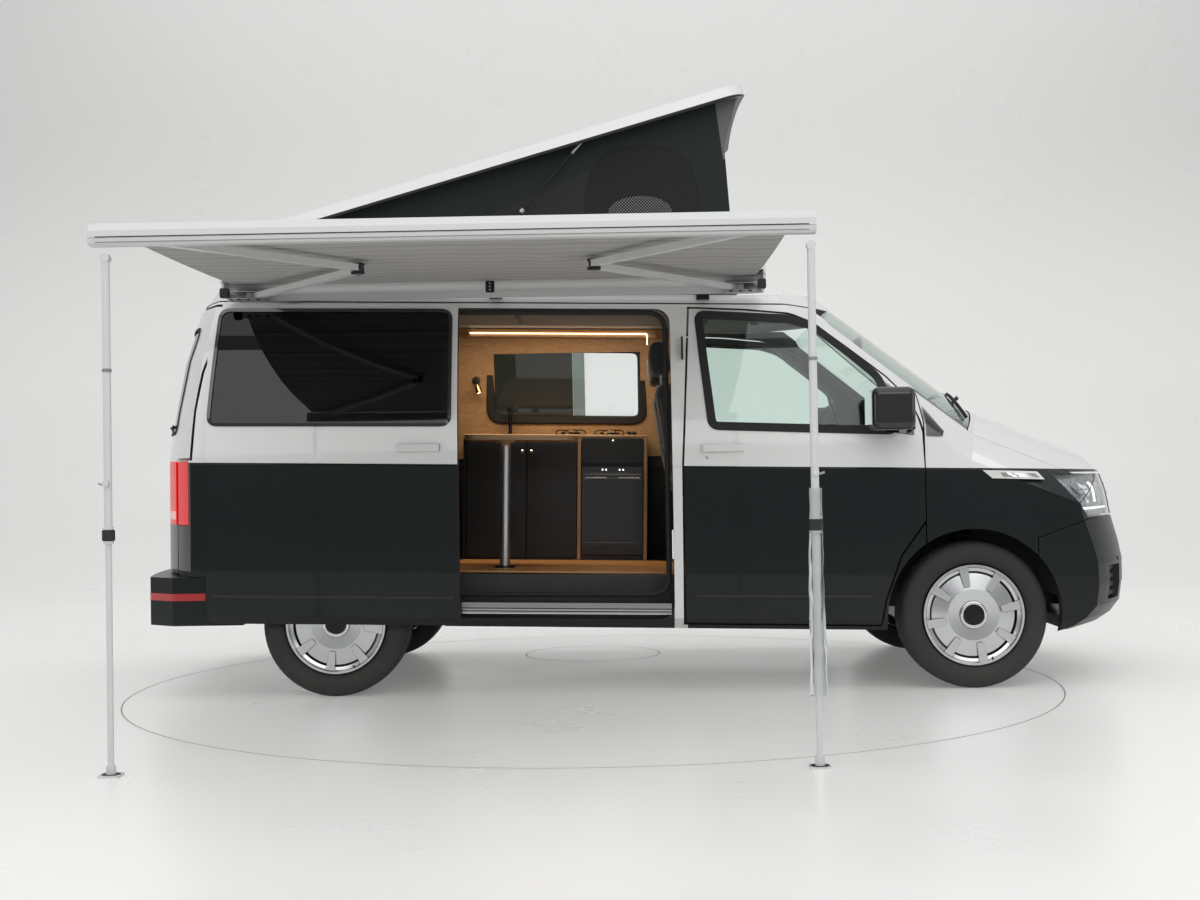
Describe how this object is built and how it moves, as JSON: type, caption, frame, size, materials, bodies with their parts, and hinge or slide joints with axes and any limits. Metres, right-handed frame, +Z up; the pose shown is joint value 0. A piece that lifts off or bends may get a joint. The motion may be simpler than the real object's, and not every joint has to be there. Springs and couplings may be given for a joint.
{
  "type": "camper van",
  "caption": "Two-tone panel van fitted as a camper: lifting roof with canvas walls, side awning on legs, open sliding door, kitchen and bench inside.",
  "frame": {"origin": "on the ground, on the van's centre plane, half way between the axles", "axes": "+X to the front of the van, +Y to its left, +Z up"},
  "size_m": [4.9058, 4.0827, 2.9506],
  "materials": {
    "paint_green": "gloss",
    "paint_white": "gloss",
    "front_trim": "gloss",
    "lamp_clear": "clear",
    "lamp_red": "clear",
    "clear_glass": "clear",
    "dark_glass": "tinted",
    "tyre": "matt",
    "alloy": "polished",
    "underbody": "satin",
    "engine": "rough",
    "exhaust": "worn",
    "cab_plastic": "grained",
    "seat_cloth": "woven",
    "cabinet": "satin",
    "oak": "oiled",
    "canvas": "woven",
    "steel": "satin",
    "awning_white": "powder coated",
    "awning_cloth": "woven"
  },
  "bodies": {
    "body": {"awning_case": "awning_white", "awning_fabric": "awning_cloth", "bench_cushions": "seat_cloth", "body_sides": "paint_green", "bumpers": "paint_green", "cab_seats": "seat_cloth", "dashboard": "cab_plastic", "engine": "engine", "exhaust": "exhaust", "floor_pan": "underbody", "front_frame": "underbody", "front_trim": "front_trim", "headlamps": "lamp_clear", "kitchen_unit": "cabinet", "rear_suspension": "underbody", "roof_bed": "seat_cloth", "roof_canvas": "canvas", "roof_fittings": "steel", "roof_panel": "paint_white", "seat_bases": "cabinet", "side_glass": "dark_glass", "sliding_door": "paint_green", "steering_wheel": "cab_plastic", "table": "oak", "tail_lamps": "lamp_red", "wall_lining": "oak", "wheel_housings": "underbody", "windscreen": "clear_glass", "wings": "paint_green", "worktop": "oak"},
    "knuckle_left": {"knuckle_left": "underbody"},
    "knuckle_right": {"knuckle_right": "underbody"},
    "door_left": {"door_left": "paint_green", "door_glass_left": "clear_glass"},
    "door_right": {"door_right": "paint_green", "door_glass_right": "clear_glass"},
    "tailgate": {"tailgate": "paint_green", "tailgate_glass": "dark_glass"},
    "bonnet": {"bonnet": "paint_white"},
    "roof_links": {"roof_links": "steel"},
    "roof": {"roof_shell": "paint_white"},
    "strut_cylinders": {"strut_cylinders": "steel"},
    "strut_rods": {"strut_rods": "steel"},
    "awning_rail": {"awning_rail": "awning_white"},
    "arm_inner_rear": {"arm_inner_rear": "awning_white"},
    "arm_outer_rear": {"arm_outer_rear": "awning_white"},
    "leg_tube_rear": {"leg_tube_rear": "awning_white"},
    "leg_rod_rear": {"leg_rod_rear": "awning_white"},
    "arm_inner_front": {"arm_inner_front": "awning_white"},
    "arm_outer_front": {"arm_outer_front": "awning_white"},
    "leg_tube_front": {"leg_tube_front": "awning_white"},
    "leg_rod_front": {"leg_rod_front": "awning_white"},
    "wheel_front_left": {"wheel_front_left": "alloy", "tyre_front_left": "tyre"},
    "wheel_front_right": {"wheel_front_right": "alloy", "tyre_front_right": "tyre"},
    "wheel_rear_left": {"wheel_rear_left": "alloy", "tyre_rear_left": "tyre"},
    "wheel_rear_right": {"wheel_rear_right": "alloy", "tyre_rear_right": "tyre"}
  },
  "joints": [
    {"name": "steer_left", "type": "hinge", "parent": "body", "child": "knuckle_left", "pos_m": [1.5, 0.716, 0.342], "axis": [0, 0, 1], "range_deg": [-32, 32]},
    {"name": "steer_right", "type": "hinge", "parent": "body", "child": "knuckle_right", "pos_m": [1.5, -0.716, 0.342], "axis": [0, 0, 1], "range_deg": [-32, 32]},
    {"name": "wheel_front_left_spin", "type": "hinge", "parent": "knuckle_left", "child": "wheel_front_left", "pos_m": [1.5, 0.82, 0.342], "axis": [0, 1, 0], "continuous": true},
    {"name": "wheel_front_right_spin", "type": "hinge", "parent": "knuckle_right", "child": "wheel_front_right", "pos_m": [1.5, -0.82, 0.342], "axis": [0, 1, 0], "continuous": true},
    {"name": "wheel_rear_left_spin", "type": "hinge", "parent": "body", "child": "wheel_rear_left", "pos_m": [-1.5, 0.82, 0.342], "axis": [0, 1, 0], "continuous": true},
    {"name": "wheel_rear_right_spin", "type": "hinge", "parent": "body", "child": "wheel_rear_right", "pos_m": [-1.5, -0.82, 0.342], "axis": [0, 1, 0], "continuous": true},
    {"name": "door_left_swing", "type": "hinge", "parent": "body", "child": "door_left", "pos_m": [1.24, 0.945, 1], "axis": [0, 0, -1], "range_deg": [0, 70]},
    {"name": "door_right_swing", "type": "hinge", "parent": "body", "child": "door_right", "pos_m": [1.24, -0.945, 1], "axis": [0, 0, 1], "range_deg": [0, 70]},
    {"name": "tailgate_lift", "type": "hinge", "parent": "body", "child": "tailgate", "pos_m": [-2.315, 0, 1.872], "axis": [0, 1, 0], "range_deg": [0, 85]},
    {"name": "bonnet_lift", "type": "hinge", "parent": "body", "child": "bonnet", "pos_m": [1.648, 0, 1.338], "axis": [0, -1, 0], "range_deg": [0, 60]},
    {"name": "roof_lift", "type": "hinge", "parent": "body", "child": "roof_links", "pos_m": [-1.9643, 0, 1.97407], "axis": [0, -1, 0], "range_deg": [0, 58.21], "deforming": ["roof_canvas"]},
    {"name": "roof_tilt", "type": "hinge", "parent": "roof_links", "child": "roof", "pos_m": [-2.08101, 0, 2.17226], "axis": [0, -1, 0], "range_deg": [-75.2, 0]},
    {"name": "strut_swing", "type": "hinge", "parent": "body", "child": "strut_cylinders", "pos_m": [-0.93812, 0, 1.94478], "axis": [0, -1, 0], "range_deg": [-49.77, 0]},
    {"name": "strut_slide", "type": "slide", "parent": "strut_cylinders", "child": "strut_rods", "axis": [0.6643, 0, 0.7475], "range_m": [-0.371, 0]},
    {"name": "awning_out", "type": "hinge", "parent": "body", "child": "arm_inner_rear", "pos_m": [-1.878, -0.945, 1.894], "axis": [0, 0, 1], "range_deg": [0, 52.7], "deforming": ["awning_fabric"]},
    {"name": "awning_elbow_rear", "type": "hinge", "parent": "arm_inner_rear", "child": "arm_outer_rear", "pos_m": [-1.21258, -1.85086, 1.894], "axis": [0, 0, 1], "range_deg": [-105.5, 0]},
    {"name": "awning_rail_turn", "type": "hinge", "parent": "arm_outer_rear", "child": "awning_rail", "pos_m": [-1.878, -2.75673, 1.894], "axis": [0, 0, 1], "range_deg": [0, 52.8]},
    {"name": "awning_shoulder_front", "type": "hinge", "parent": "body", "child": "arm_inner_front", "pos_m": [0.429, -0.945, 1.894], "axis": [0, 0, 1], "range_deg": [-52.8, 0]},
    {"name": "awning_elbow_front", "type": "hinge", "parent": "arm_inner_front", "child": "arm_outer_front", "pos_m": [-0.23642, -1.85086, 1.894], "axis": [0, 0, 1], "range_deg": [0, 105.5]},
    {"name": "leg_rear_fold", "type": "hinge", "parent": "awning_rail", "child": "leg_tube_rear", "pos_m": [-1.932, -2.83173, 1.815], "axis": [0, -1, 0], "range_deg": [0, 88]},
    {"name": "leg_front_fold", "type": "hinge", "parent": "awning_rail", "child": "leg_tube_front", "pos_m": [0.54, -2.83173, 1.815], "axis": [0, 1, 0], "range_deg": [0, 88]},
    {"name": "leg_rear_slide", "type": "slide", "parent": "leg_tube_rear", "child": "leg_rod_rear", "axis": [0, 0, 1], "range_m": [0, 0.765]},
    {"name": "leg_front_slide", "type": "slide", "parent": "leg_tube_front", "child": "leg_rod_front", "axis": [0, 0, 1], "range_m": [0, 0.765]}
  ],
  "couplings": [
    {"joint": "steer_right", "follows": "steer_left", "ratio": 1},
    {"joint": "roof_tilt", "follows": "roof_lift", "ratio": -1.2903},
    {"joint": "strut_swing", "follows": "roof_lift", "ratio": -0.85342},
    {"joint": "strut_slide", "follows": "roof_lift", "m_per_rad": -0.36422},
    {"joint": "awning_elbow_rear", "follows": "awning_out", "ratio": -2},
    {"joint": "awning_rail_turn", "follows": "awning_out", "ratio": 1},
    {"joint": "awning_shoulder_front", "follows": "awning_out", "ratio": -1},
    {"joint": "awning_elbow_front", "follows": "awning_out", "ratio": 2}
  ]
}
